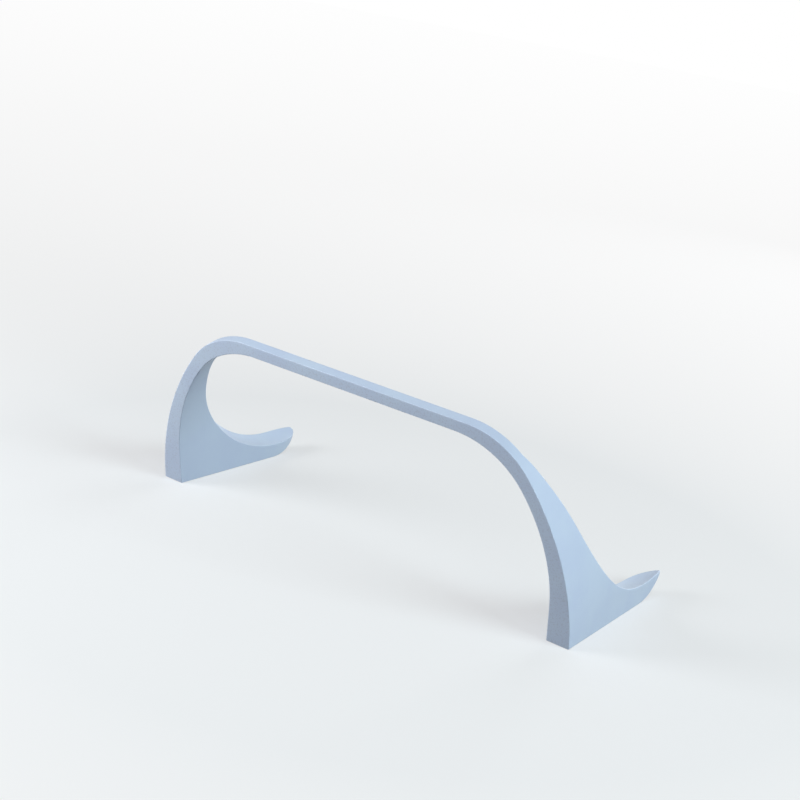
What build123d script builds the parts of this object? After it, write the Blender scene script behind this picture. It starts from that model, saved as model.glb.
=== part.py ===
from build123d import *
from math import asin, cos, radians, sin, sqrt
import os

# A one-piece stand that holds a game pad upright: a leaning arch whose two legs
# widen forward into feet. The top edge of each foot is a hollow seat for a grip.
# The frame has +X across the arch, +Y from the heels towards the toes and +Z up,
# with the origin under the middle of the stand, on the surface it stands on.

# Driving dimensions, in millimetres and degrees
heel_half_width = 65.0  # outer face of a leg at the ground, from the middle
arch_length = 52.3  # ground to the top of the arch, measured along the back face
lean_angle = 16.5  # the back face leans back from the vertical by this
leg_turn = 36.3  # the long arc of the outer outline turns this far before the shoulder
shoulder_radius = 21.5  # outer outline, from the leg to the top bar
leg_wall = 6.2  # across a leg at the ground
bar_height = 3.15  # top bar, measured in the plane of the back face
bar_depth = 3.15  # top bar, measured square to the back face
inner_leg_start = 9.8  # the inner outline is straight up to here
inner_leg_turn = 35.8  # the long arc of the inner outline turns this far
inner_shoulder_radius = 23.4
foot_reach = 55.9  # heel line to the tip of a toe

# Seat for a grip, in a plane that leans inwards over each foot
seat_radius = 14.0  # hollow across the seat
seat_curve_radius = 49.0  # hollow along the seat, from the leg to the toe
seat_slope = 59.9  # slope of the straight upper stretch of the seat
seat_level_start = 43.4  # the seat is level here, at its lowest
seat_toe_slope = 2.5  # slope of the last stretch, up to the tip of the toe
seat_height = 4.9  # lowest line of the seat above the ground
seat_lean = 18.3  # the plane of the seat leans inwards by this
seat_inset = 2.2  # outer face of the leg to that plane, at the height of the seat

# Toe
toe_start = 42.0  # the foot narrows and lifts off the ground from here to the tip
toe_rise = 4.4  # underside of the tip above the ground
toe_offset = 1.9  # middle of its oval plan, further out than the middle of the leg
toe_edge_radius = 0.1  # rounding under the toe where it begins
toe_fullness = 0.85  # rounding under the tip, as a share of half its width
toe_turn = 80.0  # how far round its oval plan the toe goes before the blunt tip
toe_sections = 6


def tangent_arcs(half_width, start, top, turn, upper_radius):
    """Half of an arch outline: a long arc off the wall and a tighter one to a level top.

    Returns the points on the right-hand side, from the wall to the middle, and
    the middle of each arc, all in the plane of the back face.
    """
    lower_radius = (top - start - upper_radius) / sin(turn) + upper_radius
    lower_centre = (half_width - lower_radius, start)
    upper_centre = (lower_centre[0] + (lower_radius - upper_radius) * cos(turn), top - upper_radius)

    def on_arc(centre, radius, angle):
        return centre[0] + radius * cos(angle), centre[1] + radius * sin(angle)

    wall = (half_width, start)
    lower_middle = on_arc(lower_centre, lower_radius, turn / 2)
    join = on_arc(lower_centre, lower_radius, turn)
    upper_middle = on_arc(upper_centre, upper_radius, (turn + radians(90)) / 2)
    crown = (upper_centre[0], top)
    return wall, lower_middle, join, upper_middle, crown


def arch_face(half_width, start, top, turn, upper_radius, bottom):
    """The area under an arch outline, down to a level line, symmetric about X = 0."""
    wall, lower_middle, join, upper_middle, crown = tangent_arcs(
        half_width, start, top, turn, upper_radius
    )
    right = [
        Line((half_width, bottom), wall),
        ThreePointArc(wall, lower_middle, join),
        ThreePointArc(join, upper_middle, crown),
        Line(crown, (0, top)),
        Line((0, top), (0, bottom)),
        Line((0, bottom), (half_width, bottom)),
    ]
    half = make_face(Wire(right))
    return half + mirror(half, Plane.YZ)


def seat_points(offset):
    """The side view of the seat, raised by an offset: toe end, bend and top."""
    radius = seat_curve_radius - offset
    slope = radians(seat_slope)
    toe_slope = radians(seat_toe_slope)

    def on_bend(angle):
        return (
            seat_level_start + radius * sin(angle),
            seat_curve_radius - radius * cos(angle),
        )

    bend_start = on_bend(toe_slope)
    bend_end = on_bend(-slope)
    run = foot_reach
    climb = arch_length * 2
    toe_end = (bend_start[0] + run * cos(toe_slope), bend_start[1] + run * sin(toe_slope))
    top = (bend_end[0] - climb * cos(slope), bend_end[1] + climb * sin(slope))
    return toe_end, bend_start, on_bend(-slope / 2), bend_end, top


def over_seat(offset, inwards, outwards):
    """All that lies over the raised line of the seat, as far as given to either side."""
    toe_end, bend_start, bend_middle, bend_end, top = seat_points(offset)
    front_top = (toe_end[0], top[1])
    outline = [
        Line(toe_end, bend_start),
        ThreePointArc(bend_start, bend_middle, bend_end),
        Line(bend_end, top),
        Line(top, front_top),
        Line(front_top, toe_end),
    ]
    area = seat_plane * make_face(Wire(outline))
    return extrude(area, amount=outwards) + extrude(area, amount=-inwards)


def beside_slope(inwards):
    """All that lies over the sloping stretch of the seat and inwards of its middle."""
    toe_end, _, _, bend_end, top = seat_points(0)
    front_top = (toe_end[0], top[1])
    front_low = (toe_end[0], bend_end[1])
    area = seat_plane * make_face(Polyline(bend_end, top, front_top, front_low, close=True))
    return extrude(area, amount=-inwards)


def grip_hollow():
    """The hollow of a seat: a round bar along the line of the grip."""
    toe_end, bend_start, bend_middle, bend_end, top = seat_points(seat_radius)
    path = seat_plane * Wire(
        [
            Line(toe_end, bend_start),
            ThreePointArc(bend_start, bend_middle, bend_end),
            Line(bend_end, top),
        ]
    )
    section = Plane(origin=path @ 0, z_dir=path % 0) * Circle(seat_radius)
    return sweep(section, path=path)


def toe_section(y, middle, half_width, bottom, radius):
    """A section across a toe: upright sides and rounded lower corners."""
    area = make_face(
        Polyline(
            (-half_width, bottom),
            (half_width, bottom),
            (half_width, toe_top),
            (-half_width, toe_top),
            close=True,
        )
    )
    area = fillet(area.vertices().group_by(Axis.Y)[0], radius)
    across = Plane(origin=(middle, y, 0), x_dir=(1, 0, 0), z_dir=(0, -1, 0))
    return across * area


def toe():
    """The nose of a foot: oval in plan, with an underside that curves up to the tip."""
    run = foot_reach - toe_start
    oval_length = run / sin(radians(toe_turn))
    lift_radius = (run**2 + toe_rise**2) / (2 * toe_rise)
    leg_middle = heel_half_width - leg_wall / 2
    sections = []
    for index in range(toe_sections):
        share = index / (toe_sections - 1)
        turn = radians(toe_turn) * share
        ahead = oval_length * sin(turn)
        half_width = leg_wall / 2 * cos(turn)
        bottom = lift_radius - sqrt(lift_radius**2 - ahead**2)
        middle = leg_middle + toe_offset * (1 - cos(turn))
        radius = toe_edge_radius + (half_width * toe_fullness - toe_edge_radius) * share**2
        sections.append(toe_section(toe_start + ahead, middle, half_width, bottom, radius))
    return loft(sections)


# Planes
lean = radians(lean_angle)
back_face = Plane(origin=(0, 0, 0), x_dir=(-1, 0, 0), z_dir=(0, cos(lean), sin(lean)))
seat_tilt = radians(seat_lean)
seat_plane = Plane(
    origin=(heel_half_width - seat_inset, 0, seat_height),
    x_dir=(0, 1, 0),
    z_dir=(cos(seat_tilt), 0, sin(seat_tilt)),
)
toe_top = seat_height + seat_radius / 2

# Arch, as a band square to the back face
outer = arch_face(
    heel_half_width, 0, arch_length, radians(leg_turn), shoulder_radius, -foot_reach
)
inner = arch_face(
    heel_half_width - leg_wall,
    inner_leg_start,
    arch_length - bar_height,
    radians(inner_leg_turn),
    inner_shoulder_radius,
    -foot_reach,
)
band = extrude(back_face * (outer - inner), amount=foot_reach * 1.5)

# Only what is above the ground and behind the toes stays, and each foot gets its toe
above_ground = Pos(0, 0, arch_length) * Box(
    heel_half_width * 3, foot_reach * 3, arch_length * 2
)
behind_toes = Pos(0, toe_start - foot_reach, 0) * Box(
    heel_half_width * 3, foot_reach * 2, arch_length * 4
)
right_toe = toe() & above_ground
body = (band & above_ground & behind_toes) + right_toe + mirror(right_toe, Plane.YZ)

# Seats, cut only in front of the arch
side_cut = (
    grip_hollow()
    + over_seat(seat_radius / 2, seat_radius * 0.8, seat_radius * 0.8)
    + over_seat(seat_radius, heel_half_width, heel_half_width / 2)
    + beside_slope(heel_half_width * 1.3)
)
front = extrude(
    back_face.offset(bar_depth) * Rectangle(heel_half_width * 3, arch_length * 6),
    amount=foot_reach * 3,
)
side_cut = side_cut & front
stand = body - side_cut - mirror(side_cut, Plane.YZ)

# The middle of the bounding box goes over the origin
back_reach = arch_length * sin(lean)
stand = Pos(0, (back_reach - foot_reach) / 2, 0) * stand

os.makedirs("parts", exist_ok=True)
export_step(stand, "parts/stand.step")
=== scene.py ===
from math import asin, atan2, cos, hypot, pi, radians, sin, sqrt

import bmesh
import bpy
from mathutils import Matrix, Vector


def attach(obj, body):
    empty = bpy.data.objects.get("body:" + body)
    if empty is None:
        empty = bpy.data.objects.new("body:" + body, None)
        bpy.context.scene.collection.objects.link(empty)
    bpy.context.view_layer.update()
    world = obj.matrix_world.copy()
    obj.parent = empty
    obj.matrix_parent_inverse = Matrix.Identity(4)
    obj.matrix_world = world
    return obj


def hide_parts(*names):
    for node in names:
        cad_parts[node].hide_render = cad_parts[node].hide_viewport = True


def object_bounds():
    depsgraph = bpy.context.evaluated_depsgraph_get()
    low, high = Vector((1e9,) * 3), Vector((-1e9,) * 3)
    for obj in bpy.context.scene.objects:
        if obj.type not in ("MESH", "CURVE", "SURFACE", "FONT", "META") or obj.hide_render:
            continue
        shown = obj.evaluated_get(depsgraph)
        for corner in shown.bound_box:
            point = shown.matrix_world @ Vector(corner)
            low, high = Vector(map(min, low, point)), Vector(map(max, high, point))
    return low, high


bl_info = {
    "name": "Game Controller Stand",
    "version": (1, 0, 0),
    "blender": (4, 5, 0),
    "location": "3D View > Sidebar > Controller Stand",
    "description": "Builds a one-piece printed stand for a game pad, its finish and a plain studio",
    "category": "Add Mesh",
}

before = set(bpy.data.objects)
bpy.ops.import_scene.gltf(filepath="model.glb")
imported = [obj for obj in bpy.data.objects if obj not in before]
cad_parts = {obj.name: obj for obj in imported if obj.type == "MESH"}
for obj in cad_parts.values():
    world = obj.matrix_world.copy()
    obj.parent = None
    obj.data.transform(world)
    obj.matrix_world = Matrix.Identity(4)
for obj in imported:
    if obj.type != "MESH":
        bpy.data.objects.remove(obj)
CAD_BOX = [list(corner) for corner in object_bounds()]
SOLID = "stand"
BODY = "root"
DOWN = Vector((0.0, 0.0, -1.0))

# A seat's rim is looked for within this share of the hollow's radius, in this many halvings.
RIM_REACH = 0.8
RIM_HALVINGS = 45
# Metres from a seat's bend to two places on its straight stretch up the leg.
NEXT_TO_BEND = 1e-9
PAST_BEND = 0.01

# Levels of noise, or of likeness of two directions, between which an effect comes in.
SPECK_LEVELS = (0.5, 0.72)
PATCH_LEVELS = (0.36, 0.66)
TONE_LEVELS = (0.3, 0.7)
PLATE_LEVELS = (0.85, 0.99)
# The specks come from the same kind of noise as the height, read this many metres away.
SPECK_SHIFT = (0.31, 0.17, 0.23)
# Steps of the tone's noise for each layer.
TONE_RATE = 0.35
# The relief is reckoned in millimetres.
TO_MM = 1000

FLOOR_SEGMENTS = 96
# Each lamp's name, place and width in metres, and the settings that hold its power and colour.
LAMPS = (
    ("key_lamp", (0.747, 0.0, 0.503), 0.5, "key_power", "key_colour"),
    ("fill_lamp", (-0.252, -0.273, 0.14), 0.19, "fill_power", "fill_colour"),
    ("edge_lamp", (0.51, -0.51, 0.34), 0.4, "edge_power", "fill_colour"),
    ("front_lamp", (0.0, 0.8, 0.24), 0.35, "front_power", "fill_colour"),
)
LAMP_TARGET = (0.0, 0.0, 0.025)
# The camera's place in metres, its turns in degrees, and its lens and sensor in millimetres.
CAMERA_PLACE = (0.17953, -0.31816, 0.14424)
CAMERA_YAW, CAMERA_PITCH, CAMERA_ROLL = -30.215, 16.048, 10.6
CAMERA_LENS = 64.18
CAMERA_SENSOR = 36.0
# The nearest and the furthest that it sees, in metres.
CAMERA_REACH = (0.01, 20.0)


def srgb(red, green, blue):
    """Linear values of a colour given in 8-bit steps, as a picture shows it."""
    steps = (red / 255, green / 255, blue / 255)
    return tuple(c / 12.92 if c <= 0.04045 else ((c + 0.055) / 1.055) ** 2.4 for c in steps)


def length(name, description, value):
    """A size in metres."""
    return bpy.props.FloatProperty(
        name=name, description=description, default=value, min=0.0, precision=5, unit="LENGTH"
    )


def angle(name, description, degrees):
    """An angle, given in degrees and kept in radians."""
    return bpy.props.FloatProperty(
        name=name, description=description, default=radians(degrees), unit="ROTATION"
    )


def count(name, description, value):
    """A number of steps."""
    return bpy.props.IntProperty(name=name, description=description, default=value, min=1)


def share(name, description, value):
    """A share from none to all."""
    return bpy.props.FloatProperty(
        name=name, description=description, default=value, min=0.0, max=1.0, subtype="FACTOR"
    )


def level(name, description, value):
    """A strength from none upwards."""
    return bpy.props.FloatProperty(name=name, description=description, default=value, min=0.0)


def colour(name, description, value):
    """A colour in linear values."""
    return bpy.props.FloatVectorProperty(
        name=name, description=description, default=value, min=0.0, max=1.0, size=3, subtype="COLOR"
    )


class StandSizes(bpy.types.PropertyGroup):
    """Sizes of the arch, the seats and the toes."""

    heel_half_width: length(
        "Heel half width", "Outer face of a leg at the ground, from the middle", CAD_BOX[1][0]
    )
    arch_length: length("Arch length", "Ground to the top, along the back face", 0.0523)
    lean_angle: angle("Lean", "The back face leans back from the vertical by this", 16.5)
    leg_turn: angle("Leg turn", "Turn of the outer outline's long arc", 36.3)
    shoulder_radius: length("Shoulder radius", "Outer outline, from leg to bar", 0.0215)
    leg_wall: length("Leg wall", "Across a leg at the ground", 0.0062)
    bar_height: length("Bar height", "Top bar, in the plane of the back face", 0.00315)
    bar_depth: length("Bar depth", "Top bar, square to the back face", 0.00315)
    inner_leg_start: length("Inner leg start", "The inner outline is straight up to here", 0.0098)
    inner_leg_turn: angle("Inner leg turn", "Turn of the inner outline's long arc", 35.8)
    inner_shoulder_radius: length("Inner shoulder radius", "Inner outline, from leg to bar", 0.0234)
    foot_reach: length("Foot reach", "Heel line to the tip of a toe", 0.0559)
    seat_radius: length("Seat radius", "Hollow across a seat", 0.014)
    seat_curve_radius: length("Seat curve radius", "Hollow along a seat", 0.049)
    seat_slope: angle("Seat slope", "Slope of the straight upper stretch of a seat", 59.9)
    seat_level_start: length("Seat level start", "Where a seat is level, from the heel line", 0.0434)
    seat_toe_slope: angle("Seat toe slope", "Slope of a seat up to the tip of the toe", 2.5)
    seat_height: length("Seat height", "Lowest line of a seat above the ground", 0.0049)
    seat_lean: angle("Seat lean", "The plane of a seat leans inwards by this", 18.3)
    seat_inset: length("Seat inset", "Outer face of the leg to the plane of the seat", 0.0022)
    toe_start: length("Toe start", "The foot narrows and lifts from here", 0.042)
    toe_rise: length("Toe rise", "Underside of the tip above the ground", 0.0044)
    toe_offset: length("Toe offset", "Middle of the toe's oval, out from the leg's middle", 0.0019)
    toe_fullness: share("Toe fullness", "Rounding under the tip, of half its width", 0.85)
    toe_turn: angle("Toe turn", "How far round its oval a toe goes", 80.0)
    edge_radius: length("Edge radius", "Rounding of every outer edge", 0.0002)
    tip_radius: length("Tip radius", "Rounding of the blunt tip of a toe", 0.00025)
    crease_step: length("Crease step", "Sections next to the crease above a seat", 0.00015)
    bar_steps: count("Bar steps", "Sections from the middle of the bar to the seat", 34)
    leg_steps: count("Leg steps", "Sections from the top of the seat to the heel", 34)
    foot_steps: count("Foot steps", "Sections from the heel to the toe", 28)
    toe_steps: count("Toe steps", "Sections along a toe", 20)
    wall_steps: count("Wall steps", "Faces up each wall", 8)
    seat_steps: count("Seat steps", "Faces across a seat", 9)
    edge_steps: count("Edge steps", "Faces round each edge", 3)


class StandFinish(bpy.types.PropertyGroup):
    """Colour and surface of the printed plastic."""

    plastic_colour: colour("Plastic colour", "Colour in plain light", srgb(204, 220, 241))
    patch_colour: colour("Patch colour", "Colour of faintly duller patches", srgb(200, 215, 239))
    speck_colour: colour("Speck colour", "Colour of the first layer's specks", srgb(184, 193, 212))
    patch_size: length("Patch size", "Across a duller patch", 0.016)
    speck_size: length("Speck size", "Across a speck on the first layer", 0.00042)
    speck_share: share("Speck share", "How strongly the specks show", 0.45)
    speck_depth: length("Speck depth", "Depth of the first layer's grain", 0.000009)
    wall_grain: share("Wall grain", "Share of that grain on the sides of layers", 0.2)
    layer_height: length("Layer height", "Height of a printed layer", 0.0002)
    layer_depth: length("Layer depth", "Depth of the grooves between layers", 0.0000025)
    layer_tone: share("Layer tone", "How much duller the dullest layers are", 0.25)
    roughness: share("Roughness", "How dull the plastic is", 0.5)
    roughness_drift: share("Roughness drift", "How much the dullness varies", 0.08)


class StudioSettings(bpy.types.PropertyGroup):
    """Floor and light around the stand."""

    floor_colour: colour("Floor colour", "Colour of the floor as it is seen", srgb(240, 242, 244))
    floor_bounce: colour("Floor bounce", "Colour of the light it sends back", (0.08, 0.082, 0.085))
    floor_white: share("Floor white", "Share of plain white in the floor beside the stand", 0.45)
    floor_fade: length("Floor fade", "From here outwards the floor turns whiter", 0.12)
    floor_radius: length("Floor radius", "From the middle of the floor to its rim", 6.0)
    floor_patch: length("Floor patch", "Across a duller patch of the floor", 0.3)
    floor_patch_tone: share("Floor patch tone", "Brightness of the duller patches", 0.985)
    key_power: level("Key light", "Large soft lamp on the right, in watts", 2.3)
    fill_power: level("Fill light", "Soft lamp behind on the left, in watts", 0.465)
    edge_power: level("Edge light", "Soft lamp behind on the right, in watts", 0.46)
    front_power: level("Front light", "Low soft lamp in front, in watts", 0.8)
    lamp_spread: angle("Lamp spread", "The light of every lamp stays within this angle", 120.0)
    key_colour: colour("Key colour", "Colour of the lamp on the right", (0.85, 0.975, 1.0))
    fill_colour: colour("Fill colour", "Colour of the other lamps", (0.97, 0.99, 1.0))
    sky_level: level("Room light", "Level of the even light from all around", 0.13)
    sky_colour: colour("Room colour", "Colour of the even light from all around", (0.93, 0.96, 1.0))


def opaque(value):
    """A colour with full cover, or a socket as it is."""
    return value if isinstance(value, bpy.types.NodeSocket) else (*value, 1.0)


class NodeBench:
    """Adds linked nodes to a tree, each with a number, colour or socket for its inputs."""

    def __init__(self, tree):
        self.tree = tree

    def feed(self, made, values):
        """Sets or links inputs, given by name or by number."""
        for key, value in values.items():
            if isinstance(value, bpy.types.NodeSocket):
                self.tree.links.new(value, made.inputs[key])
            else:
                made.inputs[key].default_value = value
        return made

    def add(self, kind, place, values=None, **fields):
        """A new node at a place in the tree, with its fields set and its inputs fed."""
        made = self.tree.nodes.new(kind)
        made.location = place
        for name, value in fields.items():
            setattr(made, name, value)
        return self.feed(made, values or {})

    def math(self, operation, place, *values):
        """The result of a sum on numbers."""
        made = self.add("ShaderNodeMath", place, dict(enumerate(values)), operation=operation)
        return made.outputs["Value"]

    def vector(self, operation, place, *values):
        """A sum on vectors, whose result is its Vector or its Value."""
        return self.add("ShaderNodeVectorMath", place, dict(enumerate(values)), operation=operation)

    def noise(self, place, vector, scale, detail, roughness):
        """Noise from none to one at a place in space."""
        values = {"Vector": vector, "Scale": scale, "Detail": detail, "Roughness": roughness}
        return self.add("ShaderNodeTexNoise", place, values).outputs["Fac"]

    def between(self, place, value, low, high):
        """A smooth step of a value, from none at one level to one at another."""
        values = {"Value": value, "From Min": low, "From Max": high}
        made = self.add("ShaderNodeMapRange", place, values, interpolation_type="SMOOTHSTEP")
        return made.outputs["Result"]

    def mix_colour(self, place, part, first, last):
        """A colour between two others."""
        values = {0: part, 6: opaque(first), 7: opaque(last)}
        return self.add("ShaderNodeMix", place, values, data_type="RGBA").outputs[2]

    def group(self, place, tree, values):
        """The outputs of a group that is placed in the tree."""
        return self.add("ShaderNodeGroup", place, values, node_tree=tree).outputs


class Outline:
    """One outline of the arch in the plane of the back face, from the middle of the bar to the ground."""

    def __init__(self, half_width, start, top, turn, shoulder):
        self.half_width = half_width
        self.start = start
        self.top = top
        self.turn = turn
        self.shoulder = shoulder
        self.bow = (top - start - shoulder) / sin(turn) + shoulder
        self.low = (half_width - self.bow, start)
        self.high = (self.low[0] + (self.bow - shoulder) * cos(turn), top - shoulder)
        self.bar_end = self.high[0]
        self.shoulder_end = self.bar_end + shoulder * (pi / 2 - turn)
        self.bow_end = self.shoulder_end + self.bow * turn

    def place(self, run):
        """Place and outward direction at a distance along the outline."""
        if run <= self.bar_end:
            return (run, self.top), (0.0, 1.0)
        if run >= self.bow_end:
            return (self.half_width, self.start - run + self.bow_end), (1.0, 0.0)
        if run <= self.shoulder_end:
            turned = pi / 2 - (run - self.bar_end) / self.shoulder
            middle, radius = self.high, self.shoulder
        else:
            turned = self.turn - (run - self.shoulder_end) / self.bow
            middle, radius = self.low, self.bow
        outward = (cos(turned), sin(turned))
        return (middle[0] + radius * outward[0], middle[1] + radius * outward[1]), outward

    def measure(self, x, height):
        """Distance along the outline to its point next to a place, and how far outside it that is."""
        if height <= self.start:
            return self.bow_end + self.start - height, x - self.half_width
        across, up = x - self.low[0], height - self.low[1]
        turned = atan2(up, across)
        if turned <= self.turn:
            return self.shoulder_end + self.bow * (self.turn - turned), hypot(across, up) - self.bow
        across, up = x - self.high[0], height - self.high[1]
        if across > 0:
            run = self.bar_end + self.shoulder * atan2(across, up)
            return run, hypot(across, up) - self.shoulder
        return x, height - self.top


class Seat:
    """The hollow top edge of the right foot and leg, run from its level point towards the toe."""

    def __init__(self, sizes):
        self.radius = sizes.seat_radius
        self.curve = sizes.seat_curve_radius
        self.slope = sizes.seat_slope
        self.toe_slope = sizes.seat_toe_slope
        self.level = sizes.seat_level_start
        self.origin = Vector((sizes.heel_half_width - sizes.seat_inset, 0.0, sizes.seat_height))
        self.outward = Vector((cos(sizes.seat_lean), 0.0, sin(sizes.seat_lean)))
        self.upward = Vector((-sin(sizes.seat_lean), 0.0, cos(sizes.seat_lean)))
        self.bend_end = -self.slope * self.curve

    def run_at(self, ahead):
        """The run of the seat's lowest line at a distance ahead of the heel line."""
        bend_toe = self.level + self.curve * sin(self.toe_slope)
        if ahead > bend_toe:
            return self.curve * self.toe_slope + (ahead - bend_toe) / cos(self.toe_slope)
        return self.curve * asin((ahead - self.level) / self.curve)

    def point(self, run, across):
        """Place and outward direction of the seat's surface."""
        slope = max(-self.slope, min(self.toe_slope, run / self.curve))
        rest = run - slope * self.curve
        ahead = self.level + self.curve * sin(slope) + rest * cos(slope)
        rise = self.curve * (1 - cos(slope)) + rest * sin(slope)
        square = Vector((0.0, -sin(slope), 0.0)) + self.upward * cos(slope)
        if across < 0 and run < self.bend_end:
            hollow = 0.0
        else:
            hollow = self.radius - sqrt(self.radius**2 - across**2)
        tilt = across / self.radius if hollow else 0.0
        place = self.origin + Vector((0.0, ahead, 0.0)) + self.upward * rise
        place = place + square * hollow + self.outward * across
        return place, (square * (1 - hollow / self.radius) - self.outward * tilt).normalized()


def inside(corner, first, last, radius):
    """The middle of the rounding of a sharp edge between two faces."""
    return corner - (first + last) * (radius / (1 + first.dot(last)))


def crosswise(direction):
    """A direction without its part along the foot."""
    return Vector((direction.x, 0.0, direction.z)).normalized()


class Shell:
    """The right half of the stand as closed sections, from the middle of the bar to the tip of a toe.

    An edge is the middle of its rounding, the directions of its wall and its other face, and its radius.
    """

    def __init__(self, sizes):
        self.sizes = sizes
        self.lean = (cos(sizes.lean_angle), sin(sizes.lean_angle))
        self.forward = Vector((0.0, self.lean[0], self.lean[1]))
        self.outer = Outline(
            sizes.heel_half_width, 0.0, sizes.arch_length, sizes.leg_turn, sizes.shoulder_radius
        )
        self.inner = Outline(
            sizes.heel_half_width - sizes.leg_wall,
            sizes.inner_leg_start,
            sizes.arch_length - sizes.bar_height,
            sizes.inner_leg_turn,
            sizes.inner_shoulder_radius,
        )
        self.seat = Seat(sizes)
        self.sides = ((self.outer, 1), (self.inner, -1))
        run = sizes.foot_reach - sizes.toe_start
        self.oval = run / sin(sizes.toe_turn)
        self.lift = (run**2 + sizes.toe_rise**2) / (2 * sizes.toe_rise)

    def upright(self, x, height, depth):
        """A place from the plane of the back face, its depth measured square to that face."""
        ahead, up = self.lean
        return Vector((x, depth * ahead - height * up, height * ahead + depth * up))

    def flat(self, place):
        """The height and depth of a place, from the plane of the back face."""
        ahead, up = self.lean
        return place.z * ahead - place.y * up, place.y * ahead + place.z * up

    def toe(self, ahead):
        """Half width, middle, underside and rounding of a toe's section."""
        sizes = self.sizes
        beyond = max(0.0, ahead - sizes.toe_start)
        turned = asin(min(1.0, beyond / self.oval))
        half = sizes.leg_wall / 2 * cos(turned)
        middle = sizes.heel_half_width - sizes.leg_wall / 2 + sizes.toe_offset * (1 - cos(turned))
        under = self.lift - sqrt(self.lift**2 - beyond**2)
        rounding = half * sizes.toe_fullness * (turned / sizes.toe_turn) ** 2
        return half, middle, under, max(sizes.edge_radius, rounding)

    def beyond_wall(self, place, outline, side):
        """How far a place is outside the outline of a wall."""
        if place.y > self.sizes.toe_start:
            half, middle, _, _ = self.toe(place.y)
            return place.x - middle - side * half
        height, _ = self.flat(place)
        return outline.measure(place.x, height)[1]

    def rim(self, seat_run, outline, side):
        """Where the seat meets a wall: the distance across it."""
        low, high = -self.seat.radius * RIM_REACH, self.seat.radius * RIM_REACH
        for _ in range(RIM_HALVINGS):
            middle = (low + high) / 2
            place, _ = self.seat.point(seat_run(middle), middle)
            if self.beyond_wall(place, outline, side) > 0:
                high = middle
            else:
                low = middle
        return (low + high) / 2

    def fold_run(self, across):
        """The run at which the seat comes out of the front of the bar."""
        start = self.seat.bend_end
        _, depth = self.flat(self.seat.point(start - NEXT_TO_BEND, across)[0])
        _, further = self.flat(self.seat.point(start - PAST_BEND, across)[0])
        return start - PAST_BEND * (depth - self.sizes.bar_depth) / (depth - further)

    def wall_direction(self, outward, side):
        """The direction out of a wall, from that of its outline."""
        return self.upright(outward[0] * side, outward[1] * side, 0.0)

    def wall_line(self, first, last, outline, side, in_toe):
        """The points up a wall between two edges, without its ends."""
        steps = self.sizes.wall_steps
        parts = [step / steps for step in range(1, steps)]
        points = []
        if in_toe:
            for part in parts:
                place = first.lerp(last, part)
                half, middle, _, _ = self.toe(place.y)
                place.x = middle + side * half
                points.append((place, Vector((side, 0.0, 0.0))))
            return points
        (first_height, first_depth), (last_height, last_depth) = self.flat(first), self.flat(last)
        first_run, _ = outline.measure(first.x, first_height)
        last_run, _ = outline.measure(last.x, last_height)
        for part in parts:
            (x, height), outward = outline.place(first_run + (last_run - first_run) * part)
            place = self.upright(x, height, first_depth + (last_depth - first_depth) * part)
            points.append((place, self.wall_direction(outward, side)))
        return points

    def round_edge(self, edge, from_wall):
        """Points and directions round an edge, from its wall to its other face or back."""
        middle, wall, face, radius = edge
        first, last = (wall, face) if from_wall else (face, wall)
        steps = self.sizes.edge_steps
        turns = [first.slerp(last, step / steps) for step in range(steps + 1)]
        return [(middle + turn * radius, turn) for turn in turns]

    def close(self, outer_low, outer_high, inner_high, inner_low, top_line, in_toe=False):
        """A whole section from its four edges and the line between the upper two."""
        outer_low, inner_high = (self.round_edge(edge, False) for edge in (outer_low, inner_high))
        outer_high, inner_low = (self.round_edge(edge, True) for edge in (outer_high, inner_low))
        outer_wall = self.wall_line(outer_low[-1][0], outer_high[0][0], self.outer, 1, in_toe)
        inner_wall = self.wall_line(inner_high[-1][0], inner_low[0][0], self.inner, -1, in_toe)
        steps = self.sizes.seat_steps
        top = [top_line(outer_high[-1], inner_high[0], step / steps) for step in range(1, steps)]
        back = (inner_low[-1][0].lerp(outer_low[0][0], 0.5), outer_low[0][1])
        outer = [*outer_low, *outer_wall, *outer_high]
        inner = [*inner_high, *inner_wall, *inner_low]
        return [*outer, *top, *inner, back]

    def wall_edge(self, outline, side, run, depth, face):
        """The edge between a wall and a face square to it."""
        (x, height), outward = outline.place(run)
        wall = self.wall_direction(outward, side)
        radius = self.sizes.edge_radius
        return inside(self.upright(x, height, depth), wall, face, radius), wall, face, radius

    def seat_edges(self, seat_run, in_toe):
        """Both rims of the seat, and the line across it."""
        radius = self.sizes.edge_radius
        rims = []
        for outline, side in self.sides:
            across = self.rim(seat_run, outline, side)
            corner, face = self.seat.point(seat_run(across), across)
            if in_toe:
                wall, face = Vector((side, 0.0, 0.0)), crosswise(face)
            else:
                height, _ = self.flat(corner)
                _, outward = outline.place(outline.measure(corner.x, height)[0])
                wall = self.wall_direction(outward, side)
            rims.append((inside(corner, wall, face, radius), wall, face, radius))
        outer, inner = rims

        def across_seat(first, last, part):
            ends = [(end[0] - self.seat.origin).dot(self.seat.outward) for end in (first, last)]
            across = ends[0] + (ends[1] - ends[0]) * part
            place, face = self.seat.point(seat_run(across), across)
            return place, crosswise(face) if in_toe else face

        return outer, inner, across_seat

    def bar_section(self, runs):
        """A section of the bar and shoulder, square to the back face."""
        faces = ((0.0, -self.forward), (self.sizes.bar_depth, self.forward))
        outer_low, outer_high, inner_low, inner_high = (
            self.wall_edge(outline, side, run, depth, face)
            for (outline, side), run in zip(self.sides, runs)
            for depth, face in faces
        )

        def across_front(first, last, part):
            return first[0].lerp(last[0], part), self.forward

        return self.close(outer_low, outer_high, inner_high, inner_low, across_front)

    def leg_section(self, part, runs, toe_run):
        """A section from the back face to the seat."""
        low = [
            self.wall_edge(outline, side, run, 0.0, -self.forward)
            for (outline, side), run in zip(self.sides, runs)
        ]
        return self.seat_section(part, low, toe_run)

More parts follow.
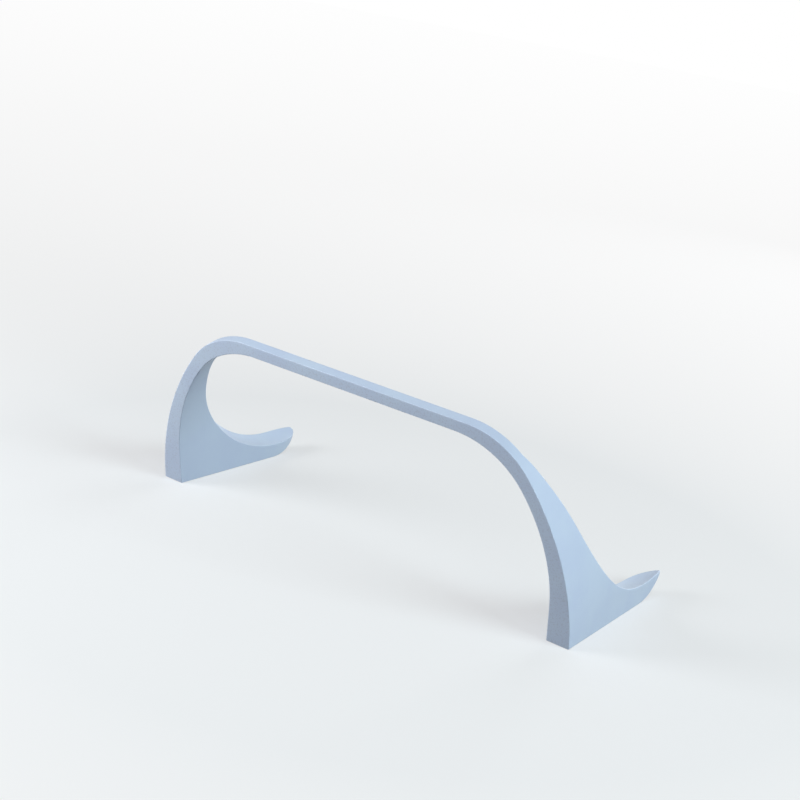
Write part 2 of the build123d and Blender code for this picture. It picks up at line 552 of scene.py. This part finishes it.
    def foot_section(self, part, ahead, toe_run, turn=1.0):
        """A section from the sole to the seat. Turn goes from 0, still on the back face, to 1."""
        radius = self.sizes.edge_radius
        face = (-self.forward).slerp(DOWN, turn)
        low = []
        for outline, side in self.sides:
            middle = Vector((outline.half_width - side * radius, ahead, radius))
            low.append((middle, Vector((side, 0.0, 0.0)), face, radius))
        return self.seat_section(part, low, toe_run)

    def seat_section(self, part, low, toe_run):
        """A section under the seat, a share of the way from the crease to the toe."""

        def seat_run(across):
            start = self.fold_run(across)
            return start + (toe_run - start) * part

        outer_low, inner_low = low
        outer_high, inner_high, across_seat = self.seat_edges(seat_run, False)
        return self.close(outer_low, outer_high, inner_high, inner_low, across_seat)

    def toe_section(self, ahead):
        """A section of a toe, upright and square to the way ahead."""
        half, middle, under, radius = self.toe(ahead)
        low = []
        for side in (1, -1):
            place = Vector((middle + side * (half - radius), ahead, under + radius))
            low.append((place, Vector((side, 0.0, 0.0)), DOWN, radius))
        outer_low, inner_low = low
        run = self.seat.run_at(ahead)
        outer_high, inner_high, across_seat = self.seat_edges(lambda across: run, True)
        return self.close(outer_low, outer_high, inner_high, inner_low, across_seat, in_toe=True)

    def fold_ends(self):
        """The runs along the outer and the inner outline at which the seat begins."""
        ends = []
        for outline, side in self.sides:
            across = self.rim(self.fold_run, outline, side)
            place, _ = self.seat.point(self.fold_run(across), across)
            ends.append(outline.measure(place.x, self.flat(place)[0])[0])
        return ends

    def heel_middle(self, outline):
        """The run and height of the middle of the rounding along the heel."""
        ahead, up = self.lean
        height = self.sizes.edge_radius * (1 - up) / ahead
        return outline.measure(outline.half_width, height)[0], height

    def bar_sections(self, folds):
        """From the middle of the bar to the crease above the seat."""
        sizes = self.sizes
        parts = [step / sizes.bar_steps for step in range(sizes.bar_steps)]
        parts.append(1 - sizes.crease_step / folds[0])
        return [self.bar_section([fold * part for fold in folds]) for part in parts]

    def leg_and_foot_sections(self, folds):
        """From the crease down the leg, round the heel and along the foot to the toe."""
        sizes = self.sizes
        toe_run = self.seat.run_at(sizes.toe_start)
        outer_heel, heel_height = self.heel_middle(self.outer)
        inner_heel, _ = self.heel_middle(self.inner)
        heels = (outer_heel, inner_heel)
        heel_ahead = self.upright(0.0, heel_height, sizes.edge_radius).y
        leg = outer_heel - folds[0]
        whole = leg + sizes.toe_start - heel_ahead
        heel = leg / whole
        ease = sizes.edge_radius / whole
        parts = [0.0, sizes.crease_step / whole]
        parts += [(heel - ease) * step / sizes.leg_steps for step in range(1, sizes.leg_steps + 1)]
        made = []
        for part in parts:
            down = min(1.0, part / (heel - ease))
            runs = [fold + (end - fold) * down for fold, end in zip(folds, heels)]
            made.append(self.leg_section(part, runs, toe_run))
        for step in range(1, sizes.edge_steps + 1):
            turn = step / sizes.edge_steps
            made.append(self.foot_section(heel - ease + 2 * ease * turn, heel_ahead, toe_run, turn))
        for step in range(1, sizes.foot_steps + 1):
            along = step / sizes.foot_steps
            part = heel + ease + (1 - heel - ease) * along
            ahead = heel_ahead + (sizes.toe_start - heel_ahead) * along
            made.append(self.foot_section(part, ahead, toe_run))
        return made

    def toe_sections(self):
        """Along a toe and round its blunt tip, which closes in one point."""
        sizes = self.sizes
        last_ahead = sizes.foot_reach - sizes.tip_radius
        last_turn = asin((last_ahead - sizes.toe_start) / self.oval)
        made = []
        for step in range(1, sizes.toe_steps + 1):
            turned = last_turn * step / sizes.toe_steps
            made.append(self.toe_section(sizes.toe_start + self.oval * sin(turned)))
        tip_steps = 2 * sizes.edge_steps
        for step in range(1, tip_steps + 1):
            turned = pi / 2 * step / tip_steps
            section = self.toe_section(last_ahead + sizes.tip_radius * sin(turned))
            drawn = sizes.tip_radius * (1 - cos(turned))
            made.append([(place - facing * drawn, facing) for place, facing in section])
        middle = sum((place for place, _ in made[-1]), Vector()) / len(made[-1])
        made.append([(middle, Vector((0.0, 1.0, 0.0)))] * len(made[-1]))
        return made

    def sections(self):
        """All the sections, each a list of places, moved so that the stand is over the middle."""
        folds = self.fold_ends()
        made = [*self.bar_sections(folds), *self.leg_and_foot_sections(folds), *self.toe_sections()]
        heel = self.sizes.arch_length * sin(self.sizes.lean_angle)
        shift = Vector((0.0, (heel - self.sizes.foot_reach) / 2, 0.0))
        return [[place + shift for place, _ in section] for section in made]


def rail_lines(context, rails):
    """An object with one line through the places of each rail."""
    lines = bpy.data.curves.new("stand_rails", "CURVE")
    lines.dimensions = "3D"
    for rail in rails:
        spline = lines.splines.new("POLY")
        spline.points.add(len(rail) - 1)
        spline.points.foreach_set("co", [value for place in rail for value in (*place, 1.0)])
    holder = bpy.data.objects.new("stand_rails", lines)
    context.collection.objects.link(holder)
    return holder


def skin_tree():
    """A node tree that stretches a skin over rails and mirrors it."""
    tree = bpy.data.node_groups.new("skin_over_rails", "GeometryNodeTree")
    sockets = {}
    for name, kind, value in (
        ("Rails", "NodeSocketGeometry", None),
        ("Rail count", "NodeSocketInt", 4),
        ("Points per rail", "NodeSocketInt", 2),
        ("Join distance", "NodeSocketFloat", 1e-6),
        ("Plastic", "NodeSocketMaterial", None),
    ):
        socket = tree.interface.new_socket(name=name, in_out="INPUT", socket_type=kind)
        if value is not None:
            socket.default_value = value
        sockets[name] = socket.identifier
    tree.interface.new_socket(name="Shell", in_out="OUTPUT", socket_type="NodeSocketGeometry")
    bench = NodeBench(tree)
    given = bench.add("NodeGroupInput", (-1400, 0)).outputs
    rails, points = given["Rail count"], given["Points per rail"]

    rows = bench.math("ADD", (-1000, 200), rails, 1.0)
    values = {"Size X": 1.0, "Size Y": 1.0, "Vertices X": points, "Vertices Y": rows}
    grid = bench.add("GeometryNodeMeshGrid", (-800, 300), values)

    place = bench.add("GeometryNodeInputPosition", (-1400, -400)).outputs["Position"]
    split = bench.add("ShaderNodeSeparateXYZ", (-1200, -400), {"Vector": place}).outputs
    last_point = bench.math("SUBTRACT", (-1200, -200), points, 1.0)
    along = bench.math("ADD", (-1000, -300), split["X"], 0.5)
    around = bench.math("ADD", (-1000, -500), split["Y"], 0.5)
    point = bench.math("MULTIPLY", (-800, -300), along, last_point)
    point = bench.math("ROUND", (-600, -300), point)
    rail = bench.math("MULTIPLY", (-800, -500), around, rails)
    rail = bench.math("ROUND", (-600, -500), rail)
    rail = bench.math("MODULO", (-400, -500), rail, rails)
    index = bench.math("MULTIPLY_ADD", (-200, -400), rail, points, point)

    values = {"Geometry": given["Rails"], "Value": place, "Index": index}
    sample = bench.add("GeometryNodeSampleIndex", (0, -200), data_type="FLOAT_VECTOR", domain="POINT")
    bench.feed(sample, values)
    values = {"Geometry": grid.outputs["Mesh"], "Position": sample.outputs["Value"]}
    half = bench.add("GeometryNodeSetPosition", (200, 200), values).outputs["Geometry"]

    values = {"Geometry": half, "Scale": (-1.0, 1.0, 1.0)}
    other = bench.add("GeometryNodeTransform", (400, -100), values).outputs["Geometry"]
    other = bench.add("GeometryNodeFlipFaces", (600, 200), {"Mesh": other}).outputs["Mesh"]
    both = bench.add("GeometryNodeJoinGeometry", (800, 100), {"Geometry": other})
    bench.feed(both, {"Geometry": half})
    skin = both.outputs["Geometry"]
    for kind, place, values in (
        ("GeometryNodeMergeByDistance", (1000, 100), {"Distance": given["Join distance"]}),
        ("GeometryNodeSetShadeSmooth", (1200, 100), {}),
        ("GeometryNodeRealizeInstances", (1400, 100), {}),
        ("GeometryNodeSetMaterial", (1600, 100), {"Material": given["Plastic"]}),
    ):
        skin = bench.add(kind, place, {"Geometry": skin, **values}).outputs["Geometry"]
    bench.add("NodeGroupOutput", (1800, 100), {"Shell": skin})
    return tree, sockets


def plain_mesh(context, holder, name):
    """A mesh of what an object looks like with its modifiers."""
    context.view_layer.update()
    seen = holder.evaluated_get(context.evaluated_depsgraph_get())
    mesh = bpy.data.meshes.new_from_object(seen)
    mesh.name = name
    return mesh


def shader_group(name, inputs, outputs):
    """An empty group with named sockets: its bench, what it is given and its output node."""
    tree = bpy.data.node_groups.new(name, "ShaderNodeTree")
    for label, kind, value in inputs:
        socket = tree.interface.new_socket(name=label, in_out="INPUT", socket_type="NodeSocket" + kind)
        socket.default_value = value
    for label in outputs:
        tree.interface.new_socket(name=label, in_out="OUTPUT", socket_type="NodeSocketFloat")
    bench = NodeBench(tree)
    given = bench.add("NodeGroupInput", (-1200, 0))
    return bench, given.outputs, bench.add("NodeGroupOutput", (800, 0))


def fine_grain():
    """The grain of a textured surface: its height, its specks and its slow patches."""
    name = "fine_grain"
    if name in bpy.data.node_groups:
        return bpy.data.node_groups[name]
    inputs = (
        ("Place", "Vector", (0.0, 0.0, 0.0)),
        ("Grain size", "Float", 0.0005),
        ("Patch size", "Float", 0.02),
    )
    bench, given, result = shader_group(name, inputs, ("Height", "Specks", "Patches"))
    place = given["Place"]
    fine = bench.math("DIVIDE", (-1000, 200), 1.0, given["Grain size"])
    coarse = bench.math("DIVIDE", (-1000, -200), 1.0, given["Patch size"])
    shifted = bench.vector("ADD", (-800, 100), place, SPECK_SHIFT).outputs["Vector"]
    height = bench.noise((-600, 300), place, fine, detail=2.0, roughness=0.6)
    specks = bench.noise((-600, 0), shifted, fine, detail=1.0, roughness=0.5)
    patches = bench.noise((-600, -300), place, coarse, detail=3.0, roughness=0.55)
    values = {
        "Height": bench.math("SUBTRACT", (-200, 300), height, 0.5),
        "Specks": bench.between((-200, 0), specks, *SPECK_LEVELS),
        "Patches": bench.between((-200, -300), patches, *PATCH_LEVELS),
    }
    bench.feed(result, values)
    return bench.tree


def printed_layers():
    """Layers stacked along a direction: the ridge of each, its own tone, and where they show."""
    name = "printed_layers"
    if name in bpy.data.node_groups:
        return bpy.data.node_groups[name]
    inputs = (
        ("Place", "Vector", (0.0, 0.0, 0.0)),
        ("Facing", "Vector", (0.0, 0.0, 1.0)),
        ("Direction", "Vector", (0.0, 0.0, 1.0)),
        ("Layer height", "Float", 0.0002),
    )
    bench, given, result = shader_group(name, inputs, ("Ridge", "Tone", "Walls", "Plate"))
    direction = given["Direction"]
    along = bench.vector("DOT_PRODUCT", (-1000, 200), given["Place"], direction).outputs["Value"]
    layer = bench.math("DIVIDE", (-800, 200), along, given["Layer height"])
    phase = bench.math("MULTIPLY", (-600, 300), layer, 2 * pi)
    values = {"W": bench.math("MULTIPLY", (-600, 0), layer, TONE_RATE), "Scale": 1.0, "Detail": 2.0}
    tone = bench.add("ShaderNodeTexNoise", (-400, 0), values, noise_dimensions="1D")
    facing = bench.vector("DOT_PRODUCT", (-1000, -300), given["Facing"], direction).outputs["Value"]
    facing = bench.math("ABSOLUTE", (-800, -300), facing)
    plate = bench.between((-400, -300), facing, *PLATE_LEVELS)
    values = {
        "Ridge": bench.math("COSINE", (-400, 300), phase),
        "Tone": tone.outputs["Fac"],
        "Walls": bench.math("SUBTRACT", (-200, -400), 1.0, plate),
        "Plate": plate,
    }
    bench.feed(result, values)
    return bench.tree


def new_material(name):
    """A material with the bench of its tree and its Principled BSDF."""
    material = bpy.data.materials.new(name)
    material.use_nodes = True
    return material, NodeBench(material.node_tree), material.node_tree.nodes["Principled BSDF"]


def printed_plastic(finish, direction):
    """Matte plastic printed in layers that are stacked along a direction, on a textured plate."""
    material, bench, surface = new_material("printed_plastic")
    place = bench.add("ShaderNodeTexCoord", (-1600, 0)).outputs
    values = {
        "Place": place["Object"],
        "Grain size": finish.speck_size,
        "Patch size": finish.patch_size,
    }
    grain = bench.group((-1200, 300), fine_grain(), values)
    values = {
        "Place": place["Object"],
        "Facing": place["Normal"],
        "Direction": direction,
        "Layer height": finish.layer_height,
    }
    layers = bench.group((-1200, -200), printed_layers(), values)
    patches, walls, plate = grain["Patches"], layers["Walls"], layers["Plate"]

    base = bench.mix_colour((-700, 500), patches, finish.plastic_colour, finish.patch_colour)
    toned = bench.between((-1000, 50), layers["Tone"], *TONE_LEVELS)
    toned = bench.math("MULTIPLY", (-900, 100), toned, finish.layer_tone)
    toned = bench.math("MULTIPLY", (-700, 100), toned, walls)
    base = bench.mix_colour((-500, 500), toned, base, finish.patch_colour)
    specks = bench.math("MULTIPLY", (-900, 200), plate, finish.speck_share)
    specks = bench.math("MULTIPLY", (-700, 250), grain["Specks"], specks)
    base = bench.mix_colour((-300, 500), specks, base, finish.speck_colour)

    rough = bench.math("SUBTRACT", (-700, -50), patches, 0.5)
    rough = bench.math("MULTIPLY_ADD", (-500, -50), rough, finish.roughness_drift, finish.roughness)

    grained = bench.math("MULTIPLY_ADD", (-700, -350), plate, 1 - finish.wall_grain, finish.wall_grain)
    pits = bench.math("MULTIPLY", (-700, -200), grain["Height"], finish.speck_depth * TO_MM)
    pits = bench.math("MULTIPLY", (-500, -200), pits, grained)
    grooves = bench.math("MULTIPLY", (-700, -500), layers["Ridge"], finish.layer_depth * TO_MM)
    grooves = bench.math("MULTIPLY", (-500, -500), grooves, walls)
    relief = bench.math("ADD", (-350, -350), pits, grooves)
    bump = bench.add("ShaderNodeBump", (-200, -300), {"Height": relief, "Distance": 1 / TO_MM})
    values = {"Base Color": base, "Roughness": rough, "Normal": bump.outputs["Normal"]}
    bench.feed(surface, values)
    return material


class STAND_OT_shell(bpy.types.Operator):
    """Make the stand's one printed piece."""

    bl_idname = "controller_stand.shell"
    bl_label = "Printed shell"

    def execute(self, context):
        shell = Shell(context.scene.stand_sizes)
        sections = shell.sections()
        rails = list(zip(*sections))
        guide = rail_lines(context, rails)
        tree, sockets = skin_tree()
        skin = guide.modifiers.new("skin_over_rails", "NODES")
        skin.node_group = tree
        skin[sockets["Rail count"]] = len(rails)
        skin[sockets["Points per rail"]] = len(sections)
        skin[sockets["Plastic"]] = printed_plastic(context.scene.stand_finish, shell.forward)
        mesh = plain_mesh(context, guide, "stand_skin")
        bpy.data.objects.remove(guide)
        if not mesh.polygons:
            raise RuntimeError("the skin over the rails came out empty")
        piece = bpy.data.objects.new("stand_shell", mesh)
        context.collection.objects.link(piece)
        piece.modifiers.new("even_shading", "WEIGHTED_NORMAL")
        piece.data = plain_mesh(context, piece, "stand_shell")
        piece.modifiers.clear()
        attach(piece, BODY)
        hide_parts(SOLID)
        return {"FINISHED"}


def seen_directly(bench, place):
    """One where the camera sees a surface, by itself, mirrored or through glass, and else none."""
    x, y = place
    ray = bench.add("ShaderNodeLightPath", place).outputs
    seen = bench.math("MAXIMUM", (x + 200, y), ray["Is Camera Ray"], ray["Is Glossy Ray"])
    return bench.math("MAXIMUM", (x + 400, y), seen, ray["Is Transmission Ray"])


def floor_material(settings):
    """A pale matt floor that keeps the stand's shadow and fades into the white around it."""
    material, bench, surface = new_material("studio_floor")
    place = bench.add("ShaderNodeTexCoord", (-1400, 200)).outputs["Object"]
    seen = seen_directly(bench, (-1200, 800))
    values = {"Place": place, "Patch size": settings.floor_patch}
    patches = bench.group((-1200, 400), fine_grain(), values)["Patches"]
    duller = tuple(settings.floor_patch_tone * value for value in settings.floor_colour)
    patched = bench.mix_colour((-700, 400), patches, settings.floor_colour, duller)
    shown = bench.mix_colour((-400, 400), seen, settings.floor_bounce, patched)
    bench.feed(surface, {"Base Color": shown, "Roughness": 0.9, "Specular IOR Level": 0.1})

    distance = bench.vector("LENGTH", (-1200, 0), place).outputs["Value"]
    outside = bench.math("MAXIMUM", (-1100, -100), distance, settings.floor_fade)
    near = bench.math("DIVIDE", (-1000, 0), settings.floor_fade, outside)
    dark = bench.math("MULTIPLY", (-800, 0), near, 1 - settings.floor_white)
    white = bench.math("SUBTRACT", (-600, 0), 1.0, dark)
    white = bench.math("MULTIPLY", (-400, 0), white, seen)
    glow = bench.add("ShaderNodeEmission", (-100, -200))
    values = {0: white, 1: surface.outputs["BSDF"], 2: glow.outputs["Emission"]}
    mix = bench.add("ShaderNodeMixShader", (300, 200), values)
    bench.feed(bench.tree.nodes["Material Output"], {"Surface": mix.outputs["Shader"]})
    return material


def studio_world(settings):
    """Even light for the stand, and plain white where the camera or a reflection looks past it."""
    world = bpy.data.worlds.new("studio")
    world.use_nodes = True
    bench = NodeBench(world.node_tree)
    light = bench.tree.nodes["Background"]
    bench.feed(light, {"Color": opaque(settings.sky_colour), "Strength": settings.sky_level})
    values = {"Color": (1.0, 1.0, 1.0, 1.0), "Strength": 1.0}
    white = bench.add("ShaderNodeBackground", (0, -200), values)
    seen = seen_directly(bench, (-800, 300))
    values = {0: seen, 1: light.outputs["Background"], 2: white.outputs["Background"]}
    mix = bench.add("ShaderNodeMixShader", (300, 100), values)
    bench.feed(bench.tree.nodes["World Output"], {"Surface": mix.outputs["Shader"]})
    return world


def studio_floor(context, settings):
    """A round flat floor under the stand."""
    disc = bmesh.new()
    radius = settings.floor_radius
    bmesh.ops.create_circle(disc, cap_ends=True, segments=FLOOR_SEGMENTS, radius=radius)
    mesh = bpy.data.meshes.new("studio_floor")
    disc.to_mesh(mesh)
    disc.free()
    mesh.transform(Matrix.Translation((0, 0, CAD_BOX[0][2])))
    mesh.materials.append(floor_material(settings))
    floor = bpy.data.objects.new("studio_floor", mesh)
    context.collection.objects.link(floor)


def soft_lamp(context, settings, name, place, width, power, tint):
    """A square area lamp at a place, turned to the stand. The camera doesn't see the lamp."""
    lamp = bpy.data.lights.new(name, "AREA")
    lamp.shape = "SQUARE"
    lamp.size = width
    lamp.energy = getattr(settings, power)
    lamp.color = getattr(settings, tint)
    lamp.spread = settings.lamp_spread
    holder = bpy.data.objects.new(name, lamp)
    holder.location = place
    way = Vector(LAMP_TARGET) - Vector(place)
    holder.rotation_euler = way.to_track_quat("-Z", "Y").to_euler()
    holder.visible_camera = False
    context.collection.objects.link(holder)


def photo_camera(context):
    """The camera at the photograph's place, turn and field of view."""
    yaw, pitch, roll = radians(CAMERA_YAW), radians(CAMERA_PITCH), radians(CAMERA_ROLL)
    along_y = Matrix(((1, 0, 0), (0, 0, -1), (0, 1, 0)))
    turn = Matrix(((cos(yaw), -sin(yaw), 0), (sin(yaw), cos(yaw), 0), (0, 0, 1)))
    nod = Matrix(((1, 0, 0), (0, cos(pitch), -sin(pitch)), (0, sin(pitch), cos(pitch))))
    bank = Matrix(((cos(roll), -sin(roll), 0), (sin(roll), cos(roll), 0), (0, 0, 1)))
    right, down, ahead = bank @ nod @ along_y @ turn
    axes = Matrix((right, -down, -ahead)).transposed().to_4x4()
    camera = bpy.data.cameras.new("photo_camera")
    camera.sensor_width = CAMERA_SENSOR
    camera.lens = CAMERA_LENS
    camera.clip_start, camera.clip_end = CAMERA_REACH
    holder = bpy.data.objects.new("photo_camera", camera)
    holder.matrix_world = Matrix.Translation(CAMERA_PLACE) @ axes
    context.collection.objects.link(holder)
    context.scene.camera = holder


class STAND_OT_studio(bpy.types.Operator):
    """Make the floor, the soft light and the camera."""

    bl_idname = "controller_stand.studio"
    bl_label = "Studio"

    def execute(self, context):
        settings = context.scene.stand_studio
        studio_floor(context, settings)
        context.scene.world = studio_world(settings)
        for lamp in LAMPS:
            soft_lamp(context, settings, *lamp)
        photo_camera(context)
        context.scene.view_settings.view_transform = "Standard"
        return {"FINISHED"}


class STAND_PT_panel(bpy.types.Panel):
    """Settings and pieces of the stand."""

    bl_idname = "STAND_PT_panel"
    bl_label = "Controller Stand"
    bl_space_type = "VIEW_3D"
    bl_region_type = "UI"
    bl_category = "Controller Stand"

    def draw(self, context):
        scene = context.scene
        for settings in (scene.stand_sizes, scene.stand_finish, scene.stand_studio):
            box = self.layout.box()
            for name in settings.__annotations__:
                box.prop(settings, name)
        for operator in OPERATORS:
            self.layout.operator(operator.bl_idname)


SETTINGS = (StandSizes, StandFinish, StudioSettings)
OPERATORS = (STAND_OT_shell, STAND_OT_studio)


def register():
    """Adds the settings, the operators and the panel to Blender."""
    for made in (*SETTINGS, *OPERATORS, STAND_PT_panel):
        bpy.utils.register_class(made)
    bpy.types.Scene.stand_sizes = bpy.props.PointerProperty(type=StandSizes)
    bpy.types.Scene.stand_finish = bpy.props.PointerProperty(type=StandFinish)
    bpy.types.Scene.stand_studio = bpy.props.PointerProperty(type=StudioSettings)


def unregister():
    """Takes all of them out again."""
    del bpy.types.Scene.stand_studio
    del bpy.types.Scene.stand_finish
    del bpy.types.Scene.stand_sizes
    for made in reversed((*SETTINGS, *OPERATORS, STAND_PT_panel)):
        bpy.utils.unregister_class(made)


def main():
    """Makes the stand and its studio."""
    register()
    bpy.ops.controller_stand.shell()
    bpy.ops.controller_stand.studio()


if __name__ == "__main__":
    main()
